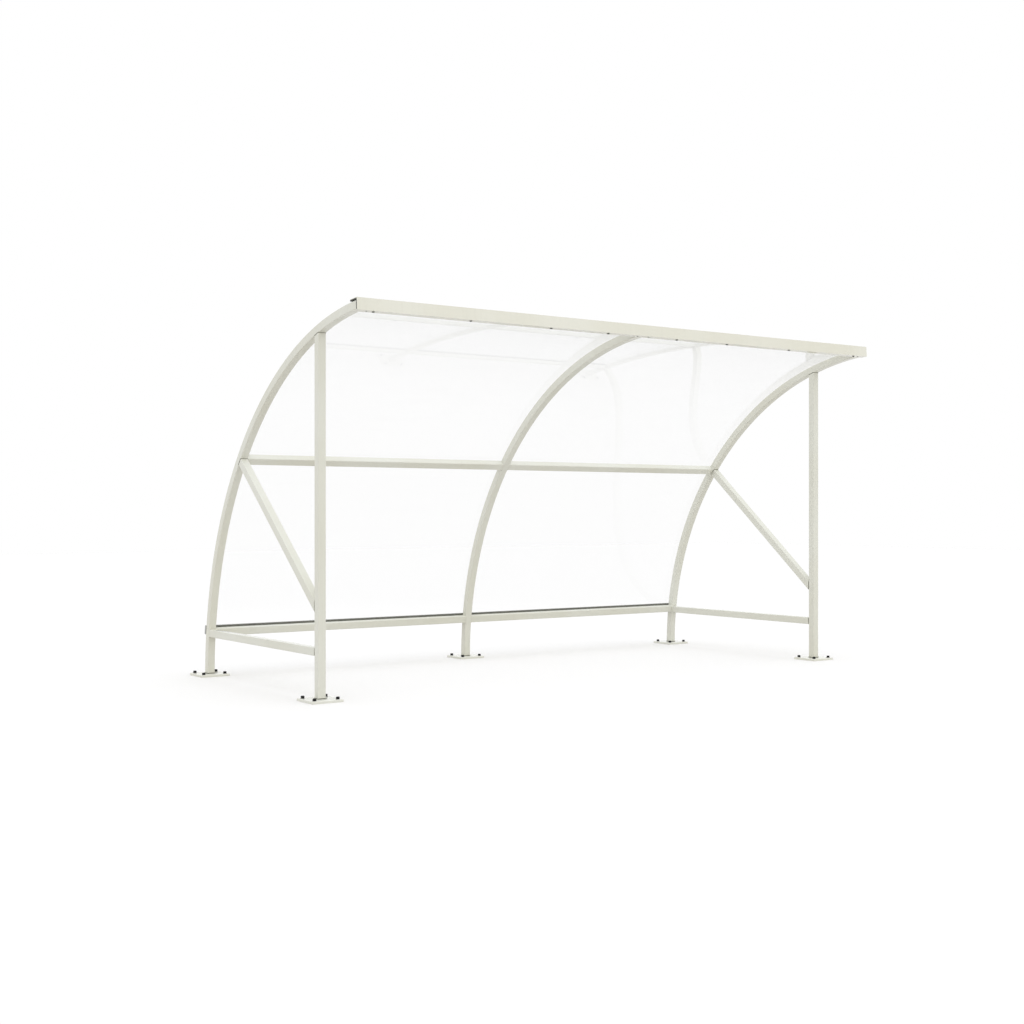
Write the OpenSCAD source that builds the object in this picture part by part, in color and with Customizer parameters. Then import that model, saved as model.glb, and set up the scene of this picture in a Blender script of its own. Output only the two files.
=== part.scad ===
// Open-fronted bike shelter. Three curved tube hoops carry two clear roof sheets, two front posts
// and a brace and rail at each end stiffen it, and a folded fascia ties the tips of the hoops.
// X runs along the width, the open front faces -Y, and the origin is on the ground under the middle.

/* [Frame tube] */
// Outside width of the square tube
tube = 50; // [40:1:70]
// Wall of the square tube
tube_wall = 3; // [2:0.5:5]
// Outside radius of the tube's corners
tube_corner = 4; // [2:0.5:8]

/* [Hoops and posts] */
// Spacing of the hoops, centre to centre
bay = 2050; // [1200:10:3000]
// Radius of the hoops' centreline
hoop_radius = 2240; // [1950:5:2600]
// Height of the hoops' centre above the ground
hoop_centre_height = 8; // [0:1:60]
// Angle up from level, at the hoops' centre, at which the hoops end
hoop_end_angle = 85.8; // [80:0.1:88]
// Distance from the hoop feet forward to the front posts
post_distance = 1600; // [1300:10:1750]

/* [Rails and braces] */
// Angle up the hoops at which the middle rails sit
mid_rail_angle = 39.6; // [25:0.1:55]
// Height of the low rails, to their centres
low_rail_height = 294; // [150:1:450]
// Height of the side rails, to their centres
side_rail_height = 287; // [150:1:360]
// Height at which the centre of a brace meets its post
brace_foot_height = 548; // [440:2:900]
// Thickness of the plates that close the rails and braces at the posts
end_plate = 5; // [3:0.5:10]
// Step in from the tube's faces to the edge of an end plate
end_plate_step = 4; // [2:0.5:8]

/* [Base plates] */
// Side of the square base plates
plate_size = 200; // [160:5:260]
// Thickness of the base plates
plate_thickness = 16; // [8:1:25]
// Radius that rounds the base plates' top edges
plate_round = 4; // [1:0.5:6]
// Distance from the edges of a base plate to its anchor bolt holes
bolt_edge = 25; // [18:1:40]
// Diameter of the anchor bolt holes
bolt_hole = 14; // [10:1:20]

/* [Roof sheets] */
// Thickness of the clear sheets
sheet_thickness = 4; // [3:0.5:8]
// Joint between the two sheets, over the middle hoop
sheet_joint = 6; // [2:1:20]
// Step in from the end hoops' outer faces to the edges of the sheets
sheet_step = 10; // [0:1:20]

/* [Sheet clamp rail] */
// Height of the rail that clamps the lower edge of the sheets
clamp_height = 60; // [40:1:80]
// Depth of the clamp rail
clamp_depth = 18; // [12:1:30]
// Wall of the clamp rail
clamp_wall = 2; // [1.5:0.5:3]
// Outside radius of the clamp rail's corners
clamp_corner = 4; // [1:0.5:6]
// Distance up the sheets from the low rails' centre to the clamp rail's centre
clamp_rise = 8; // [0:1:25]
// Distance up from the clamp rail's lower edge to the sheets' lower edge
sheet_foot = 5; // [2:1:15]

/* [Fascia] */
// Depth of the fascia's top flange, over the sheets
fascia_top_flange = 77; // [50:1:120]
// Depth of the fascia's lower flange, under the hoops
fascia_low_flange = 50; // [30:1:80]
// Thickness of the fascia's folded metal
fascia_metal = 3; // [2:0.5:4]
// Thickness of the seal between the fascia's top flange and the sheets
seal_thickness = 8.5; // [4:0.5:15]

/* [End caps] */
// Thickness of the flange on a hoop's end cap
hoop_cap_flange = 8; // [4:1:15]
// Thickness of the flange on the clamp rail's end caps
clamp_cap_flange = 3; // [2:0.5:6]
// Length of an end cap's plug
cap_plug = 20; // [10:1:40]
// Clearance between a plug and the inside of its tube
cap_clearance = 0.5; // [0.3:0.1:1]

/* [Fits] */
// Gap left where a piece seats on a curved face
seat_gap = 0.3; // [0.2:0.05:0.5]

/* [Hidden] */

$fn = 48;
// Facets in the full circle of a hoop-sized curve
hoop_facets = 720;
// Straight pieces that stand for a rounded corner
corner_steps = 3;
// How far a cutting solid runs past what it cuts
overcut = 20;
cream = [0.87, 0.86, 0.81];
grey = [0.66, 0.66, 0.62];
dark_grey = [0.22, 0.22, 0.21];
black = [0.10, 0.10, 0.10];
clear = [0.85, 0.90, 0.92, 0.35];

// Faces of the hoops, the sheets and the fascia, as radii from the hoops' centre
hoop_inside = hoop_radius - tube / 2;
hoop_outside = hoop_radius + tube / 2;
sheet_inside = hoop_outside + seat_gap;
sheet_outside = sheet_inside + sheet_thickness;
fascia_floor = sqrt(pow(hoop_inside, 2) - pow(fascia_low_flange, 2)) - seat_gap;
fascia_bottom = fascia_floor - fascia_metal;
seal_floor = sheet_outside + seat_gap;
fascia_ceiling = seal_floor + seal_thickness;
fascia_top = fascia_ceiling + fascia_metal;
// Front of the fascia, measured along the hoops from their ends
fascia_face = hoop_cap_flange + seat_gap + fascia_metal;

// The part is centred front to back between the rear base plates and the fascia
front_reach = hoop_radius - fascia_bottom * cos(hoop_end_angle) + fascia_face * sin(hoop_end_angle);
hoop_foot_y = (front_reach - plate_size / 2) / 2;
hoop_centre_y = hoop_foot_y - hoop_radius;
post_y = hoop_foot_y - post_distance;
post_back_y = post_y + tube / 2;
half_length = bay + tube / 2;
bolt_reach = plate_size / 2 - bolt_edge;

low_rail_angle = asin((low_rail_height - hoop_centre_height) / hoop_radius);
clamp_angle = low_rail_angle + clamp_rise / sheet_outside * 180 / PI;
clamp_radius = sheet_outside + seat_gap + clamp_depth / 2;
sheet_start_angle = clamp_angle - (clamp_height / 2 - sheet_foot) / sheet_outside * 180 / PI;
sheet_width = half_length - sheet_step - sheet_joint / 2;

// The brace runs from the post to the hoop's inner face at the middle rail
brace_rise = hoop_centre_height + hoop_inside * sin(mid_rail_angle) - brace_foot_height;
brace_run = hoop_centre_y + hoop_inside * cos(mid_rail_angle) - post_back_y;
brace_slope = atan2(brace_rise, brace_run);

// Rectangle with rounded corners, centred on the origin
module rounded_rectangle(width, height, radius) {
    polygon([
        for (quarter = [0:3], step = [0:corner_steps])
            let (turn = 90 * quarter, sweep = turn + 90 * step / corner_steps)
            [sign(cos(turn + 45)) * (width / 2 - radius) + radius * cos(sweep),
             sign(sin(turn + 45)) * (height / 2 - radius) + radius * sin(sweep)]
    ]);
}

// Inside radius of a tube's corners, which leaves an even wall where the outside radius has room for it
function bore_radius(wall, radius) = max(radius - wall, wall / 4);

// Section of a rectangular tube
module hollow_section(width, height, wall, radius) {
    difference() {
        rounded_rectangle(width, height, radius);
        rounded_rectangle(width - 2 * wall, height - 2 * wall, bore_radius(wall, radius));
    }
}

// Cap on the end of a rectangular tube that comes up Z to the origin: a flange with a plug under it
module end_cap(width, height, wall, radius, flange) {
    inset = wall + cap_clearance;
    linear_extrude(flange) rounded_rectangle(width, height, radius);
    translate([0, 0, -cap_plug]) linear_extrude(cap_plug)
        rounded_rectangle(width - 2 * inset, height - 2 * inset, bore_radius(wall, radius));
}

module tube_section() {
    hollow_section(tube, tube, tube_wall, tube_corner);
}

module straight_tube(length) {
    linear_extrude(length) tube_section();
}

// Turns a flat outline's X to Y and its Y to Z, so that it extrudes along X and revolves round X
module across() {
    rotate([90, 0, 90]) children();
}

// Frame on the hoops' circle: Y runs outward along the radius and Z runs up along the hoop
module at_angle(angle) {
    translate([0, hoop_centre_y, hoop_centre_height]) rotate([angle, 0, 0]) children();
}

// Everything within the hoops' inner faces, which copes the tubes that meet a hoop
module inside_hoops() {
    at_angle(0) rotate([0, 90, 0]) cylinder(
        r = hoop_inside - seat_gap, h = 2 * (half_length + overcut), center = true, $fn = hoop_facets);
}

// The revolved tube starts at the ground and is cut level where it stands on its plate
module hoop(x) {
    foot_sweep = asin(hoop_centre_height / hoop_inside);
    color(cream) difference() {
        at_angle(-foot_sweep) translate([x, 0, 0]) across()
            rotate_extrude(angle = hoop_end_angle + foot_sweep, $fn = hoop_facets)
                translate([hoop_radius, 0]) tube_section();
        translate([x - tube, hoop_foot_y - tube, -overcut])
            cube([2 * tube, 2 * tube, plate_thickness + overcut]);
    }
}

module hoop_cap(x) {
    color(black) at_angle(hoop_end_angle) translate([x, hoop_radius, 0])
        end_cap(tube, tube, tube_wall, tube_corner, hoop_cap_flange);
}

module front_post(x) {
    color(cream) intersection() {
        translate([x, post_y, plate_thickness]) straight_tube(hoop_radius);
        inside_hoops();
    }
}

// Bar along X whose top edges are rounded; two of them crossed make a plate rounded on all four sides
module plate_bar() {
    across() linear_extrude(plate_size, center = true) intersection() {
        rounded_rectangle(plate_size, 2 * plate_thickness, plate_round);
        translate([-plate_size / 2, 0]) square([plate_size, plate_thickness]);
    }
}

module base_plate(x, y) {
    color(cream) translate([x, y, 0]) difference() {
        intersection() {
            plate_bar();
            rotate([0, 0, 90]) plate_bar();
        }
        for (side = [-1, 1], end = [-1, 1])
            translate([side * bolt_reach, end * bolt_reach, -overcut])
                cylinder(d = bolt_hole, h = plate_thickness + 2 * overcut);
    }
}

// Tube between two neighbouring hoops; side is -1 for the left bay and 1 for the right
module cross_rail(side, angle) {
    color(cream) at_angle(angle)
        translate([(side - 1) / 2 * bay + tube / 2, hoop_radius, 0]) across() straight_tube(bay - tube);
}

module side_rail(x) {
    color(cream) intersection() {
        translate([x, post_back_y + end_plate, side_rail_height]) rotate([-90, 0, 0])
            straight_tube(post_distance);
        inside_hoops();
    }
}

module brace(x) {
    color(cream) difference() {
        intersection() {
            translate([x, post_back_y, brace_foot_height]) rotate([brace_slope - 90, 0, 0])
                translate([0, 0, -tube]) straight_tube(norm([brace_run, brace_rise]) + 2 * tube);
            inside_hoops();
        }
        translate([x, post_back_y + end_plate - tube, brace_foot_height])
            cube([2 * tube, 2 * tube, 4 * tube], center = true);
    }
}

// Plate that closes a tube at the back of a post, at a height and with a height of its own
module post_end_plate(x, z, tube_height) {
    color(dark_grey) translate([x, post_back_y + end_plate / 2, z])
        cube([tube - 2 * end_plate_step, end_plate, tube_height - 2 * end_plate_step], center = true);
}

module brace_end_plate(x) {
    post_end_plate(x, brace_foot_height + end_plate * tan(brace_slope), tube / cos(brace_slope));
}

module roof_sheet(side) {
    start_x = side < 0 ? -half_length + sheet_step : sheet_joint / 2;
    color(clear) at_angle(sheet_start_angle) across()
        rotate_extrude(angle = hoop_end_angle - sheet_start_angle, $fn = hoop_facets)
            translate([sheet_inside, start_x]) square([sheet_thickness, sheet_width]);
}

module clamp_rail() {
    color(grey) at_angle(clamp_angle) translate([0, clamp_radius, 0])
        across() linear_extrude(2 * (half_length - clamp_cap_flange), center = true)
            hollow_section(clamp_depth, clamp_height, clamp_wall, clamp_corner);
}

// Cap in an end of the clamp rail; side is -1 for the left end and 1 for the right
module clamp_cap(side) {
    color(grey) at_angle(clamp_angle) mirror([side < 0 ? 1 : 0, 0, 0])
        translate([half_length - clamp_cap_flange, clamp_radius, 0])
            across() end_cap(clamp_depth, clamp_height, clamp_wall, clamp_corner, clamp_cap_flange);
}

module fascia() {
    inner_face = fascia_face - fascia_metal;
    top_edge = fascia_face - fascia_top_flange;
    low_edge = fascia_face - fascia_low_flange;
    color(cream) at_angle(hoop_end_angle) translate([-half_length, 0, 0]) across()
        linear_extrude(2 * half_length) polygon([
            [fascia_bottom, low_edge], [fascia_bottom, fascia_face],
            [fascia_top, fascia_face], [fascia_top, top_edge],
            [fascia_ceiling, top_edge], [fascia_ceiling, inner_face],
            [fascia_floor, inner_face], [fascia_floor, low_edge]
        ]);
}

// Strip pressed between the fascia's top flange and the sheets
module seal_strip() {
    color(black) at_angle(hoop_end_angle)
        translate([-half_length, seal_floor, fascia_face - fascia_top_flange])
            cube([2 * half_length, seal_thickness, fascia_top_flange - fascia_metal]);
}

hoop(-bay);  // hoop_left
hoop(0);  // hoop_middle
hoop(bay);  // hoop_right
hoop_cap(-bay);  // hoop_cap_left
hoop_cap(0);  // hoop_cap_middle
hoop_cap(bay);  // hoop_cap_right
front_post(-bay);  // front_post_left
front_post(bay);  // front_post_right
base_plate(-bay, hoop_foot_y);  // base_plate_rear_left
base_plate(0, hoop_foot_y);  // base_plate_rear_middle
base_plate(bay, hoop_foot_y);  // base_plate_rear_right
base_plate(-bay, post_y);  // base_plate_front_left
base_plate(bay, post_y);  // base_plate_front_right
cross_rail(-1, mid_rail_angle);  // mid_rail_left
cross_rail(1, mid_rail_angle);  // mid_rail_right
cross_rail(-1, low_rail_angle);  // low_rail_left
cross_rail(1, low_rail_angle);  // low_rail_right
side_rail(-bay);  // side_rail_left
side_rail(bay);  // side_rail_right
post_end_plate(-bay, side_rail_height, tube);  // side_rail_end_plate_left
post_end_plate(bay, side_rail_height, tube);  // side_rail_end_plate_right
brace(-bay);  // brace_left
brace(bay);  // brace_right
brace_end_plate(-bay);  // brace_end_plate_left
brace_end_plate(bay);  // brace_end_plate_right
roof_sheet(-1);  // roof_sheet_left
roof_sheet(1);  // roof_sheet_right
clamp_rail();
clamp_cap(-1);  // clamp_cap_left
clamp_cap(1);  // clamp_cap_right
fascia();
seal_strip();
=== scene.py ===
import bpy
import numpy as np
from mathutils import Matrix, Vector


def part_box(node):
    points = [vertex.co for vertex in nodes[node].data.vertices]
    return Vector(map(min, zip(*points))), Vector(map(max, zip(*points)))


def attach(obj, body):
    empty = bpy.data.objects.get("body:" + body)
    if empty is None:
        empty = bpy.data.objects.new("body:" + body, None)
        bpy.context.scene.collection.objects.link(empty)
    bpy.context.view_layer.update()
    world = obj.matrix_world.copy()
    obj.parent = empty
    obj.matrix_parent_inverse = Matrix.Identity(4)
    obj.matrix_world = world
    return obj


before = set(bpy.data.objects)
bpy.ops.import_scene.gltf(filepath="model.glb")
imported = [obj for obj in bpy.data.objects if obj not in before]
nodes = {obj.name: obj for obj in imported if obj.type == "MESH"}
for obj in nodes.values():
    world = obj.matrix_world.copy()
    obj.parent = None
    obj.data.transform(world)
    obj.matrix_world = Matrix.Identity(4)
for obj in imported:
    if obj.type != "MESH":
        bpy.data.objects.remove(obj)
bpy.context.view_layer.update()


# Base plates: five squares cut from 16 mm steel plate, with rounded top edges and a hole near each
# corner. They are welded under the hoops and front posts and powder coated with the frame.


class Shade:
    """One output socket of a tree of shader nodes. Arithmetic on it adds the Math nodes."""

    def __init__(self, tree, socket):
        self.tree = tree
        self.socket = socket

    def node(self, kind, settings, inputs, output=0):
        """Adds a node of one kind: its settings first, then a value or a link for each socket."""
        made = self.tree.nodes.new("ShaderNode" + kind)
        for name, value in settings.items():
            setattr(made, name, value)
        for name, value in inputs.items():
            if isinstance(value, Shade):
                self.tree.links.new(value.socket, made.inputs[name])
            else:
                made.inputs[name].default_value = value
        return Shade(self.tree, made.outputs[output] if made.outputs else None)

    def maths(self, operation, first, second):
        """One Math node on two values, each a number or a socket."""
        return self.node("Math", {"operation": operation}, {0: first, 1: second})

    def __add__(self, other):
        return self.maths("ADD", self, other)

    def __rsub__(self, other):
        return self.maths("SUBTRACT", other, self)

    def __mul__(self, other):
        return self.maths("MULTIPLY", self, other)

    def __pow__(self, other):
        return self.maths("POWER", self, other)

    __radd__ = __add__
    __rmul__ = __mul__

    def between(self, low, high):
        """0 below low, 1 above high, and a smooth step between them."""
        return self.node(
            "MapRange",
            {"interpolation_type": "SMOOTHSTEP"},
            {"Value": self, "From Min": low, "From Max": high},
        )

    def blend(self, first, second):
        """The first colour where this value is 0, and the second where it is 1."""
        return self.node(
            "Mix", {"data_type": "RGBA"}, {"Factor": self, 6: first, 7: second}, 2
        )

    def noise(self, scale, detail=2.0, roughness=0.5):
        """Cloudy noise from 0 to 1 on this position, with scale clouds to a metre."""
        return self.node(
            "TexNoise",
            {},
            {"Vector": self, "Scale": scale, "Detail": detail, "Roughness": roughness},
        )

    def stretched(self, x, y, z):
        """This position with each axis multiplied, so that noise on it draws out into streaks."""
        return self.node("Mapping", {}, {"Vector": self, "Scale": (x, y, z)})

    def height(self):
        """The third part of this position or direction: how far up it lies."""
        return self.node("SeparateXYZ", {}, {"Vector": self}, 2)

    def bump(self, strength, depth):
        """A surface normal, tilted as if this value were relief of that depth in metres."""
        return self.node("Bump", {}, {"Strength": strength, "Distance": depth, "Height": self})

    def surface(self, inputs):
        """Ends the tree with one Principled shader, given the values or links of its sockets."""
        shader = self.node("BsdfPrincipled", {}, inputs)
        self.node("OutputMaterial", {}, {"Surface": shader})


def new_finish(name):
    """An empty material, with the place on the object in metres as its first socket."""
    material = bpy.data.materials.new(name)
    material.use_nodes = True
    tree = material.node_tree
    tree.nodes.clear()
    return material, Shade(tree, None).node("TexCoord", {}, {}, "Object")


def linear(red, green, blue):
    """A colour written as 0 to 255 on a screen, turned into the light that it stands for."""
    screen = np.array((red, green, blue)) / 255
    light = np.where(screen < 0.04045, screen / 12.92, ((screen + 0.055) / 1.055) ** 2.4)
    return (*light, 1.0)


def powder_coat(name, cream, dust_depth, scuffs, dulled=0.0):
    """Cream polyester coat: cloudy tone, faint streaks that run down, dust that thickens towards
    the ground, corners rubbed thin, and the fine orange peel that the oven leaves in it. Splashed
    rain dulls it by a share from 0 to 1."""
    material, place = new_finish(name)
    red, green, blue = cream
    cream = linear(red, green, blue)
    warm = linear(red - 5, green - 6, blue - 9)
    dust = linear(168, 161, 146)
    rubbed = linear(234, 234, 226)
    tone = place.noise(1.4, 3.0).between(0.3, 0.7)
    streaks = place.stretched(45.0, 45.0, 1.2).noise(1.0, 4.0).between(0.5, 0.8)
    low_down = (1 - place.height().between(0.0, 0.3)) ** 2.0
    specks = place.noise(55.0, 5.0, 0.65).between(0.42, 0.68)
    soiled = low_down * (0.35 + 0.65 * specks) * dust_depth + 0.06 * streaks
    flat = place.node("NewGeometry", {}, {}, "True Normal")
    eased = place.node("Bevel", {"samples": 4}, {"Radius": 0.003})
    agree = place.node(
        "VectorMath", {"operation": "DOT_PRODUCT"}, {0: flat, 1: eased}, "Value"
    )
    corners = (1 - agree).between(0.02, 0.2)
    worn = corners * place.noise(40.0, 5.0, 0.7).between(0.45, 0.65) * scuffs
    colour = tone.blend(cream, warm)
    colour = worn.blend(colour, rubbed)
    colour = soiled.blend(colour, dust)
    place.surface(
        {
            "Base Color": colour,
            "Roughness": 0.12 + 0.4 * dulled + 0.05 * tone + 0.4 * soiled,
            "IOR": 1.5,
            "Specular IOR Level": 0.5 * (1 - dulled),
            "Normal": place.noise(520.0, 1.0).bump(0.06, 0.0002),
        }
    )
    return material


def dress(material, *names):
    """Gives CAD nodes their finish."""
    for name in names:
        nodes[name].data.materials.clear()
        nodes[name].data.materials.append(material)


plates = [
    "base_plate_rear_left",
    "base_plate_rear_middle",
    "base_plate_rear_right",
    "base_plate_front_left",
    "base_plate_front_right",
]
# The plates' cream is painted lighter than the frame's: painted light on their upper faces.
dress(powder_coat("plate_coat_painted_lighter", (226, 225, 214), dust_depth=0.03, scuffs=0.5), *plates)


# Anchors: an M12 bolt in each corner hole, with a flat washer, a split spring washer and a hexagon
# head. The steel is blackened, and the heads stand 14 mm above the plates.


def plate_top(plate):
    """The middle of a base plate's upper face."""
    low, high = (np.array(corner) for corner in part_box(plate))
    return np.append((low + high)[:2] / 2, high[2])


def turned(profile, points, flats=0.0, hexagon_rows=()):
    """Rings of a piece turned about Z: each row of the profile is a radius and a height, and each
    ring holds the cosine and sine of equal angles times its radius. On the rows that are listed,
    the radius is cut back to a hexagon of that size across its flats."""
    angle = np.arange(points) * 2 * np.pi / points
    radius, height = np.array(profile).T
    reach = np.repeat(radius[:, None], points, axis=1)
    side = np.mod(angle + np.pi / 6, np.pi / 3) - np.pi / 6
    rows = list(hexagon_rows)
    reach[rows] = np.minimum(reach[rows], flats / 2 / np.cos(side))
    level = np.repeat(height[:, None], points, axis=1)
    return np.stack((reach * np.cos(angle), reach * np.sin(angle), level), axis=-1)


def skin(rings, looped=False):
    """Points and faces over a row of rings, shape (rings, points, 3): quads join each ring to the
    next. A looped row joins its last ring to its first; any other gets a fan of triangles from the
    middle of each end ring. A triangle's fourth corner is written as -1."""
    count, points = rings.shape[:2]
    ring = np.arange(count if looped else count - 1)[:, None]
    step = np.arange(points)[None, :]
    after = (ring + 1) % count
    beside = (step + 1) % points
    near = (ring * points + step, ring * points + beside)
    quads = np.stack((*near, after * points + beside, after * points + step), axis=-1)
    spots = rings.reshape(-1, 3)
    faces = quads.reshape(-1, 4)
    if not looped:
        around, onward = step[0], beside[0]
        last_ring = (count - 1) * points
        low_middle, top_middle = (np.full(points, count * points + end) for end in (0, 1))
        blank = np.full(points, -1)
        low_fan = np.stack((low_middle, onward, around, blank), axis=-1)
        top_fan = np.stack((top_middle, last_ring + around, last_ring + onward, blank), axis=-1)
        spots = np.concatenate((spots, rings[[0, -1]].mean(axis=1)))
        faces = np.concatenate((faces, low_fan, top_fan))
    return spots, faces


def renumbered(faces, shift):
    """Faces whose points stand shift places further down the list. Blank corners stay blank."""
    return np.where(faces < 0, faces, faces + shift)


def stood(spots, faces, places, axes):
    """Copies of a piece that was made upright on Z. Each stands at one of the places with its Z
    along that copy's axis, which lies in the YZ plane, and its X left as it is."""
    axes = np.broadcast_to(np.asarray(axes, float), np.shape(places))
    across = np.broadcast_to((1.0, 0.0, 0.0), axes.shape)
    frames = np.stack((across, np.cross(axes, across), axes), axis=1)
    copies = np.einsum("vi,kij->kvj", spots, frames) + np.asarray(places)[:, None, :]
    shifts = np.arange(len(copies)) * len(spots)
    moved = renumbered(faces, shifts[:, None, None])
    return copies.reshape(-1, 3), moved.reshape(-1, 4)


def piece(name, spots, faces, material, slot, crease=35.0):
    """A new mesh piece at the origin. Edges that turn by more than the crease angle stay sharp."""
    mesh = bpy.data.meshes.new(name)
    filled = faces >= 0
    ends = np.cumsum(filled.sum(axis=1))
    mesh.from_pydata(spots, [], np.split(faces[filled], ends[:-1]))
    mesh.polygons.foreach_set("use_smooth", np.ones(len(mesh.polygons), bool))
    mesh.set_sharp_from_angle(angle=np.radians(crease))
    mesh.materials.append(material)
    made = bpy.data.objects.new(name, mesh)
    bpy.context.scene.collection.objects.link(made)
    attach(made, "root")


def black_steel(name):
    """Blackened steel: near black and half dull, with brown-grey bloom in clouds and grey specks."""
    material, place = new_finish(name)
    bloom = place.noise(160.0, 4.0, 0.6).between(0.45, 0.75)
    specks = place.noise(900.0, 2.0).between(0.66, 0.74)
    colour = bloom.blend(linear(6, 6, 6), linear(20, 19, 18))
    colour = (0.4 * specks).blend(colour, linear(60, 59, 56))
    place.surface(
        {
            "Base Color": colour,
            "Roughness": 0.5 + 0.2 * bloom,
            "Specular IOR Level": 0.3,
            "Normal": place.noise(700.0, 3.0).bump(0.3, 0.0002),
        }
    )
    return material


def across_corners(flats):
    """Radius of the circle round a hexagon of that size across its flats."""
    return flats / 2 / np.cos(np.pi / 6)


edge_ease = 0.0004


def rim(radius, low, top, inset=edge_ease):
    """Profile rows of a washer between two heights: its upper and lower edges are eased."""
    return [
        (radius - inset, low),
        (radius, low + edge_ease),
        (radius, top - edge_ease),
        (radius - inset, top),
    ]


anchor_pitch = 0.150
washer_radius, washer_top = 0.012, 0.0025
spring_radius, spring_top = 0.0106, 0.0050
head_flats, head_top = 0.019, 0.0140
head_chamfer = 0.0014
dish_radius, dish_floor = 0.0075, 0.0065
anchor_profile = [
    *rim(washer_radius, 0.0, washer_top),
    *rim(spring_radius, washer_top, spring_top),
    (head_flats / 2 - edge_ease, spring_top),
    (across_corners(head_flats), spring_top + edge_ease),
    (across_corners(head_flats), head_top - head_chamfer),
    (head_flats / 2 - edge_ease, head_top),
    (dish_radius, head_top),
    (dish_floor, head_top - edge_ease),
]
anchor = skin(turned(anchor_profile, 36, head_flats, hexagon_rows=range(8, 12)))
corner_signs = np.array([(-1, -1, 0), (1, -1, 0), (1, 1, 0), (-1, 1, 0)])
fastener_black = black_steel("fastener_black")
for plate in plates:
    holes = plate_top(plate) + corner_signs * anchor_pitch / 2
    name = plate.replace("base_plate", "anchors")
    piece(name, *stood(*anchor, holes, (0, 0, 1)), fastener_black, "joint_plate")


# Hoops and front posts: 50 mm square steel tube with a 3 mm wall. Each hoop is rolled to one arc
# and each post is cut to fit under it; both are welded to their plates and powder coated cream.

tube = 0.050
tube_corner = 0.004
hoop_radius = 2.240
hoop_inside = hoop_radius - tube / 2
centre_height = 0.008
hoop_feet = [plate_top(plate) for plate in plates[:3]]
hoop_xs = [foot[0] for foot in hoop_feet]
hoop_centre = np.array((0.0, hoop_feet[0][1] - hoop_radius, centre_height))
frame_coat = powder_coat("frame_coat", (219, 218, 206), dust_depth=0.12, scuffs=0.25)
dress(frame_coat, "hoop_left", "hoop_middle", "hoop_right", "front_post_left", "front_post_right")


def tube_outline(points):
    """The tube's outer edge at equal steps: a square with quarter circles for corners, anticlockwise
    in its own plane, with the direction that points away from the tube at each step."""
    turn = np.radians(np.linspace(0, 90, 7))
    quarter = np.arange(4)[:, None] * np.pi / 2 + turn[None, :]
    around = np.stack((np.cos(quarter), np.sin(quarter)), axis=-1)
    middle = np.array([(1, 1), (-1, 1), (-1, -1), (1, -1)])[:, None] * (tube / 2 - tube_corner)
    edge = (middle + tube_corner * around).reshape(-1, 2)
    away = around.reshape(-1, 2)
    edge, away = (np.vstack((part, part[:1])) for part in (edge, away))
    run = np.append(0, np.cumsum(np.linalg.norm(np.diff(edge, axis=0), axis=1)))
    even = np.arange(points) * run[-1] / points
    place, outward = (
        np.stack([np.interp(even, run, part[:, k]) for k in (0, 1)], axis=1)
        for part in (edge, away)
    )
    return place, outward / np.linalg.norm(outward, axis=1)[:, None]


outline, outline_out = tube_outline(250)
bead_points = 10
ripple_depth, ripple_steps = 0.12, 5


def bead(path, outward, upward, size):
    """A weld bead round a closed path: a circle of that size, drawn between the directions up along
    the tube and out from it, whose radius swells and shrinks like the ripples of the weld."""
    around = np.arange(bead_points) * 2 * np.pi / bead_points
    waves = 1 + ripple_depth * np.cos(np.arange(len(path)) * 2 * np.pi / ripple_steps)
    spread = np.cos(around)[None, :, None] * np.asarray(upward, float)
    spread = spread + np.sin(around)[None, :, None] * outward[:, None, :]
    return skin(path[:, None, :] + size * waves[:, None, None] * spread, looped=True)


def weld_piece(name, weld, material):
    """A piece of weld bead, smooth over its ripples."""
    piece(name, *weld, material, "frame_paint", crease=60.0)


def groove_painted_shade(name):
    """A joint's bead painted dark olive grey in patches: painted shade of its groove."""
    material, place = new_finish(name)
    patches = place.noise(120.0, 4.0, 0.6).between(0.35, 0.65)
    place.surface(
        {
            "Base Color": patches.blend(linear(100, 99, 86), linear(124, 122, 108)),
            "Roughness": 0.6 + 0.2 * patches,
            "Normal": place.noise(400.0, 3.0).bump(0.4, 0.0004),
        }
    )
    return material


foot_bead = 0.0030
# Beads at the tube feet, post tops and brace tops are painted dark: painted shade in their grooves.
joint_painted_shade = groove_painted_shade("joint_painted_shade")
for plate in plates:
    foot = plate_top(plate) + (0.0, 0.0, foot_bead / 2)
    weld = bead(
        foot + np.pad(outline, ((0, 0), (0, 1))),
        np.pad(outline_out, ((0, 0), (0, 1))),
        (0, 0, 1),
        foot_bead,
    )
    weld_piece(plate.replace("base_plate", "foot_weld"), weld, joint_painted_shade)


def coped_weld(start, slope, size):
    """A bead where a tube meets the inner face of a hoop. The tube runs from the start in the YZ
    plane at that slope; each line of its outline is followed until it reaches the hoop's circle."""
    along = np.array((0.0, np.cos(slope), np.sin(slope)))
    across = np.array((1.0, 0.0, 0.0))
    third = np.cross(along, across)
    rays = np.asarray(start) + outline[:, :1] * across + outline[:, 1:] * third
    reach = rays - hoop_centre
    reach[:, 0] = 0.0
    advance = reach @ along
    run = np.sqrt(advance**2 - (reach**2).sum(axis=1) + hoop_inside**2) - advance
    outward = outline_out[:, :1] * across + outline_out[:, 1:] * third
    return bead(rays + run[:, None] * along, outward, along, size)


post_bead = 0.0020
post_y = plate_top("base_plate_front_left")[1]
sides = ("left", "right")
end_hoops = dict(zip(sides, (hoop_xs[0], hoop_xs[2])))
for side, x in end_hoops.items():
    weld = coped_weld((x, post_y, 0.0), np.pi / 2, post_bead)
    weld_piece(f"post_weld_{side}", weld, joint_painted_shade)


# Rails and braces: the same square tube, welded in. Two rails cross between neighbouring hoops in
# each bay, and at each end a low side rail and a slanting brace tie the hoop to its post, where a
# small plate set back from the faces of the tube closes them.

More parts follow.
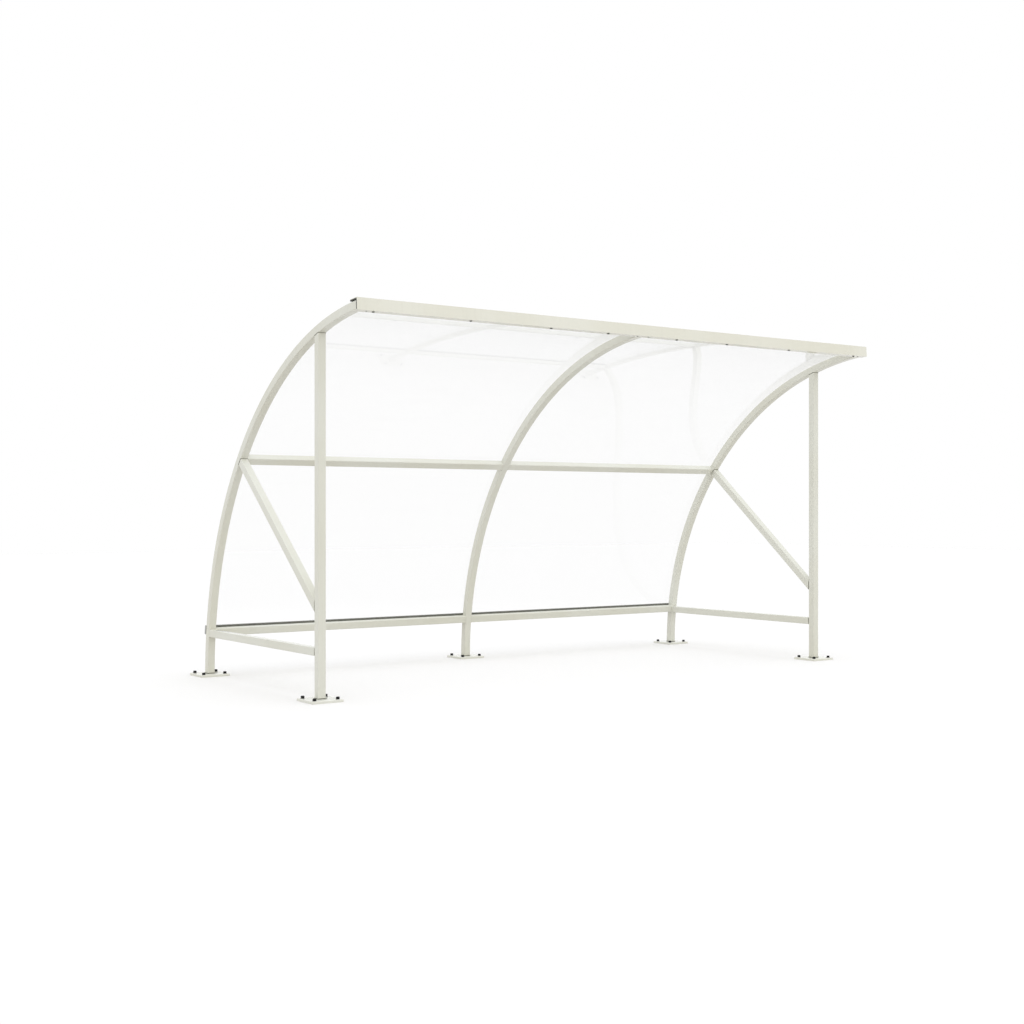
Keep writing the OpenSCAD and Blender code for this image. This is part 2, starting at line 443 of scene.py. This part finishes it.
rail_coat = powder_coat("rail_coat", (219, 218, 206), dust_depth=0.1, scuffs=0.25, dulled=0.7)
for side in sides:
    dress(frame_coat, f"mid_rail_{side}", f"side_rail_{side}", f"brace_{side}")
    dress(rail_coat, f"low_rail_{side}")
    # The end plates take the same dark paint: painted shade in the recess behind the tube's faces.
    dress(joint_painted_shade, f"side_rail_end_plate_{side}", f"brace_end_plate_{side}")

low_rail_z = 0.294
side_rail_z = 0.287
brace_foot_z = 0.548
mid_rail_angle = np.radians(39.6)
low_rail_angle = np.arcsin((low_rail_z - hoop_centre[2]) / hoop_radius)
post_back_y = post_y + tube / 2
brace_run = hoop_centre[1] + hoop_inside * np.cos(mid_rail_angle) - post_back_y
brace_rise = hoop_centre[2] + hoop_inside * np.sin(mid_rail_angle) - brace_foot_z
brace_slope = np.arctan2(brace_rise, brace_run)
brace_bead, side_rail_bead, rail_bead = 0.0024, 0.0020, 0.0018
for side, x in end_hoops.items():
    weld = coped_weld((x, post_back_y, brace_foot_z), brace_slope, brace_bead)
    weld_piece(f"brace_weld_{side}", weld, joint_painted_shade)
    weld = coped_weld((x, post_back_y, side_rail_z), 0.0, side_rail_bead)
    weld_piece(f"side_rail_weld_{side}", weld, frame_coat)


def radial(angle):
    """Direction from the hoops' axis to the place on a hoop at that angle above the level."""
    return np.array((0.0, np.cos(angle), np.sin(angle)))


def tangent(angle):
    """Direction up along a hoop at that angle above the level."""
    return np.array((0.0, -np.sin(angle), np.cos(angle)))


def rail_weld(x, angle):
    """A bead round the end of a cross rail, flat against a hoop's side face at that x. The rail's
    outline stands on the radius and the tangent of the hoop's circle at the rail's angle."""
    out, up = radial(angle), tangent(angle)
    middle = hoop_centre + (x, 0.0, 0.0) + hoop_radius * out
    path = middle + outline[:, :1] * out + outline[:, 1:] * up
    outward = outline_out[:, :1] * out + outline_out[:, 1:] * up
    return bead(path, outward, (1, 0, 0), rail_bead)


def joined(first, second):
    """Two lots of points and faces as one."""
    spots = np.concatenate((first[0], second[0]))
    return spots, np.concatenate((first[1], renumbered(second[1], len(first[0]))))


for kind, angle in (("mid_rail", mid_rail_angle), ("low_rail", low_rail_angle)):
    for side, x_left, x_right in zip(sides, hoop_xs, hoop_xs[1:]):
        weld = joined(rail_weld(x_left + tube / 2, angle), rail_weld(x_right - tube / 2, angle))
        weld_piece(f"{kind}_weld_{side}", weld, frame_coat)


# End caps: plugs moulded in black polythene, with a flange that covers the tube's end. They are
# pushed into the upper ends of the hoops, behind the fascia.


def black_plastic(name):
    """Moulded black plastic: dark grey-black with a soft spark-eroded grain and pale handling marks."""
    material, place = new_finish(name)
    marks = place.noise(60.0, 5.0, 0.6).between(0.5, 0.75)
    place.surface(
        {
            "Base Color": marks.blend(linear(26, 26, 25), linear(46, 46, 43)),
            "Roughness": 0.5 + 0.2 * marks,
            "Normal": place.noise(1200.0, 2.0).bump(0.35, 0.0002),
        }
    )
    return material


hoop_cap_flange = 0.008
dress(black_plastic("cap_black"), "hoop_cap_left", "hoop_cap_middle", "hoop_cap_right")


# Roof sheets: two sheets of clear 4 mm polycarbonate, bent cold over the outside of the hoops.
# They are colourless and mirror their surroundings, most of all where they are seen at a slant.

sheet_thickness = 0.004
seat_gap = 0.0003


def arm_from_axis(place):
    """The shortest line from the hoops' axis to a place: the place less the hoops' centre, with
    nothing along X."""
    middle = tuple(hoop_centre)
    arm = place.node("VectorMath", {"operation": "SUBTRACT"}, {0: place, 1: middle}, "Vector")
    return place.node(
        "VectorMath", {"operation": "MULTIPLY"}, {0: arm, 1: (0.0, 1.0, 1.0)}, "Vector"
    )


def facing_out(place):
    """How far a face looks away from the hoops' axis: 1 straight out, -1 straight in."""
    arm = arm_from_axis(place)
    arm = place.node("VectorMath", {"operation": "NORMALIZE"}, {0: arm}, "Vector")
    face = place.node("NewGeometry", {}, {}, "True Normal")
    return place.node("VectorMath", {"operation": "DOT_PRODUCT"}, {0: arm, 1: face}, "Value")


def clear_plastic(name):
    """Clear sheet: light passes straight through, and a share that grows with the fifth power of
    the slant is mirrored. Thin dust lies on it in clouds, and the sawn edges are dull and milky.
    Light on its way to other pieces passes as if the sheet were clean."""
    material, place = new_finish(name)
    sawn = 1 - (facing_out(place) ** 2.0).between(0.3, 0.7)
    slant = place.node("LayerWeight", {}, {"Blend": 0.5}, "Facing")
    mirrored = 0.018 + 0.982 * slant ** 5.0
    film = place.noise(2.2, 5.0, 0.6).between(0.35, 0.75)
    wiped = place.stretched(3.0, 14.0, 14.0).noise(1.0, 4.0).between(0.45, 0.8)
    dust_share = 0.002 + 0.005 * film + 0.004 * wiped
    through = place.node("BsdfTransparent", {}, {"Color": (0.996, 0.996, 0.996, 1.0)})
    gloss = place.node(
        "BsdfPrincipled",
        {},
        {
            "Base Color": (0.84, 0.84, 0.84, 1.0),
            "Metallic": 1.0,
            "Roughness": 0.004 + 0.008 * film,
        },
    )
    dust = place.node(
        "BsdfPrincipled",
        {},
        {"Base Color": film.blend(linear(236, 236, 232), linear(222, 222, 216)), "Roughness": 0.8},
    )
    edge = place.node(
        "BsdfPrincipled",
        {},
        {"Base Color": film.blend(linear(212, 218, 214), linear(196, 204, 200)), "Roughness": 0.35},
    )
    clean = place.node("MixShader", {}, {0: mirrored, 1: through, 2: gloss})
    dusty = place.node("MixShader", {}, {0: dust_share, 1: clean, 2: dust})
    whole = place.node("MixShader", {}, {0: sawn, 1: dusty, 2: edge})
    for kind in ("Is Shadow Ray", "Is Diffuse Ray"):
        lighting = place.node("LightPath", {}, {}, kind)
        whole = place.node("MixShader", {}, {0: lighting, 1: whole, 2: through})
    place.node("OutputMaterial", {}, {"Surface": whole})
    return material


dress(clear_plastic("clear_sheet"), "roof_sheet_left", "roof_sheet_right")


# Clamp rail: a flat steel box section painted grey, outside the lower edge of the sheets. Hexagon
# screws draw it against them, and its inner face, next to the sheets, is painted dark olive grey.

clamp_inside = hoop_radius + tube / 2 + seat_gap + sheet_thickness + seat_gap
clamp_depth = 0.018
clamp_rise = 0.008


def clamp_paint(name, dark_band_depth):
    """Grey paint: fine drawn lines along the rail and a cloudy dust film, and a band painted dark
    olive grey next to the sheets, as deep as is given."""
    material, place = new_finish(name)
    film = place.noise(9.0, 5.0, 0.6).between(0.4, 0.75)
    lines = place.stretched(1.5, 700.0, 700.0).noise(1.0, 3.0)
    bare = film.blend(linear(184, 184, 179), linear(172, 171, 165))
    dark_band = film.blend(linear(96, 96, 86), linear(108, 107, 97))
    away = place.node("VectorMath", {"operation": "LENGTH"}, {0: arm_from_axis(place)}, "Value")
    dark_band_edge, fade = clamp_inside + dark_band_depth, 0.0005
    # Faces nearer the hoops' axis than the band's edge are painted dark olive grey.
    in_dark_band = 1 - away.between(dark_band_edge, dark_band_edge + fade)
    place.surface(
        {
            "Base Color": in_dark_band.blend(bare, dark_band),
            "Roughness": 0.42 + 0.12 * film + 0.2 * in_dark_band,
            "Normal": lines.bump(0.2, 0.0002),
        }
    )
    return material


dress(clamp_paint("clamp_grey", dark_band_depth=0.004), "clamp_rail")
dress(clamp_paint("clamp_cap_grey", dark_band_depth=0.0), "clamp_cap_left", "clamp_cap_right")


def hexagon_screw(washer, flats, top, chamfer, crown):
    """A screw with a washer under its hexagon head. The washer is given as radius and height, the
    chamfer as how far it goes in and down, and the crown as the radius of the flat on the head."""
    washer_radius, washer_top = washer
    chamfer_in, chamfer_down = chamfer
    corner = across_corners(flats)
    profile = [
        *rim(washer_radius, 0.0, washer_top, inset=0.0006),
        (corner - edge_ease, washer_top),
        (corner, washer_top + edge_ease),
        (corner, top - chamfer_down),
        (corner - chamfer_in, top),
        (crown, top),
    ]
    return skin(turned(profile, 24, flats, hexagon_rows=range(4, 8)))


def along_x(start, xs):
    """Places in a row: the start, moved to each x."""
    return start + np.outer(xs, (1.0, 0.0, 0.0))


clamp_screw = hexagon_screw(
    washer=(0.0110, 0.0016), flats=0.0130, top=0.0070, chamfer=(0.0011, 0.0008), crown=0.0040
)
clamp_out = radial(low_rail_angle + clamp_rise / clamp_inside)
clamp_face = hoop_centre + (clamp_inside + clamp_depth) * clamp_out
clamp_xs = np.linspace(hoop_xs[0], hoop_xs[2], 9)
screws = stood(*clamp_screw, along_x(clamp_face, clamp_xs), clamp_out)
piece("clamp_screws", *screws, fastener_black, "joint_plate")


# Fascia and seal: a strip folded from 3 mm steel and coated cream, which closes the tips of the
# hoops and holds the upper edge of the sheets. An olive-black rubber strip seals it on the sheets,
# and small screws and rivets go up through its lower flange.

fascia_metal = 0.003
low_flange = 0.050
# The fascia's cream is painted lighter than the frame's: painted light on the high, open strip.
dress(powder_coat("fascia_coat_painted_lighter", (225, 223, 210), dust_depth=0.0, scuffs=0.3), "fascia")


def rubber(name):
    """Extruded rubber: dull olive-black with a grey bloom in streaks along its length."""
    material, place = new_finish(name)
    bloom = place.stretched(2.0, 60.0, 60.0).noise(1.0, 4.0).between(0.4, 0.8)
    place.surface(
        {
            "Base Color": bloom.blend(linear(58, 58, 51), linear(82, 81, 72)),
            "Roughness": 0.65 + 0.2 * bloom,
            "Normal": place.noise(800.0, 2.0).bump(0.3, 0.0002),
        }
    )
    return material


dress(rubber("seal_rubber"), "seal_strip")

tip_angle = np.radians(85.8)
tip_out = radial(tip_angle)
flange_radius = np.sqrt(hoop_inside**2 - low_flange**2) - seat_gap - fascia_metal
flange_middle = hoop_cap_flange + seat_gap + fascia_metal - low_flange / 2
under_flange = hoop_centre + flange_radius * tip_out + flange_middle * tangent(tip_angle)

fascia_screw = hexagon_screw(
    washer=(0.0092, 0.0014), flats=0.0100, top=0.0043, chamfer=(0.0009, 0.0007), crown=0.0030
)
right_xs = np.array((0.284, 0.727, 1.310, 1.960))
screw_xs = np.concatenate((-right_xs[::-1], right_xs))
screws = stood(*fascia_screw, along_x(under_flange, screw_xs), -tip_out)
piece("fascia_screws", *screws, fastener_black, "joint_plate")

rivet_radius, rivet_height = 0.0042, 0.0026
dome_angle = np.radians(np.linspace(0, 75, 6))
rivet_dome = (rivet_radius * np.cos(dome_angle), rivet_height * np.sin(dome_angle))
rivet = skin(turned(np.column_stack(rivet_dome), 20))
rivet_xs = (-2.005, -0.045, 0.045, 2.005)
rivets = stood(*rivet, along_x(under_flange, rivet_xs), -tip_out)
piece("fascia_rivets", *rivets, fastener_black, "joint_plate")


# Studio: a wide matt floor and a soft dome of light, brightest overhead and a little brighter in
# front. Rays from the camera, and those that gloss or a clear piece passes on, see the dome as
# plain white and the floor in a paler paint than the one that throws light back on the shelter.


def seen_rays(start):
    """1 for rays from the camera and for those that a mirror or a clear piece passes on, else 0."""
    seen = start.node("LightPath", {}, {}, "Is Camera Ray")
    for kind in ("Is Glossy Ray", "Is Transmission Ray"):
        ray = start.node("LightPath", {}, {}, kind)
        seen = start.maths("MAXIMUM", seen, ray)
    return seen


floor_size = 60.0
floor_bounce = (0.614, 0.594, 0.560, 1.0)
# Within 2.5 m the seen floor is painted about 4% paler, fading out by 9 m: painted light on it.
near_white_painted_light, near_reach = (0.833, 0.810, 0.772, 1.0), 2.5
far_white, far_reach = (0.803, 0.781, 0.744, 1.0), 9.0
floor_paint, place = new_finish("floor_paint")
off = place.node("VectorMath", {"operation": "LENGTH"}, {0: place}, "Value")
# That paler ring cancels the broad shade that the shelter casts on the floor.
seen_floor_with_painted_light = off.between(near_reach, far_reach).blend(near_white_painted_light, far_white)
place.surface(
    {
        "Base Color": seen_rays(place).blend(floor_bounce, seen_floor_with_painted_light),
        "Roughness": 1.0,
        "Specular IOR Level": 0.0,
    }
)
floor_mesh = bpy.data.meshes.new("floor")
floor_mesh.from_pydata(corner_signs * floor_size / 2, [], [(0, 1, 2, 3)])
floor_mesh.materials.append(floor_paint)
floor = bpy.data.objects.new("floor", floor_mesh)
bpy.context.scene.collection.objects.link(floor)

dome_level = (0.90, 0.91, 0.93)
dome_overhead = (0.44, 0.48, 0.56)
dome_ahead = (0.27, 0.26, 0.22)
dome_edge = (-0.12, -0.09)
dome = bpy.data.worlds.new("dome")
dome.use_nodes = True
dome.node_tree.nodes.clear()
bpy.context.scene.world = dome
start = Shade(dome.node_tree, None)
direction = start.node("TexCoord", {}, {}, "Generated")
to_front = (0.0, -1.0, 0.0)
frontal = start.node(
    "VectorMath", {"operation": "DOT_PRODUCT"}, {0: direction, 1: to_front}, "Value"
)
overhead = start.maths("MAXIMUM", direction.height(), 0.0)
ahead = start.maths("MAXIMUM", frontal, 0.0)
above = direction.height().between(*dome_edge)
red, green, blue = (
    above * (level + lift * overhead + front * ahead)
    for level, lift, front in zip(dome_level, dome_overhead, dome_ahead)
)
light = start.node("CombineColor", {}, {0: red, 1: green, 2: blue})
backdrop = seen_rays(start).blend(light, (1.0, 1.0, 1.0, 1.0))
sky = start.node("Background", {}, {"Color": backdrop, "Strength": 1.0})
start.node("OutputWorld", {}, {"Surface": sky})
bpy.context.scene.view_settings.view_transform = "Standard"


# Camera: a 50 mm lens on a sensor 36 mm wide, held level at 1.1 m. It stands to the left of the
# shelter's front and is turned 35 degrees to the right.

camera_turn = np.radians(-35.0)
lens = bpy.data.cameras.new("camera")
lens.lens = 50.0
lens.sensor_width = 36.0
camera = bpy.data.objects.new("camera", lens)
camera.location = (-5.8681, -7.99707, 1.09815)
camera.rotation_euler = (np.pi / 2, 0.0, camera_turn)
bpy.context.scene.collection.objects.link(camera)
bpy.context.scene.camera = camera
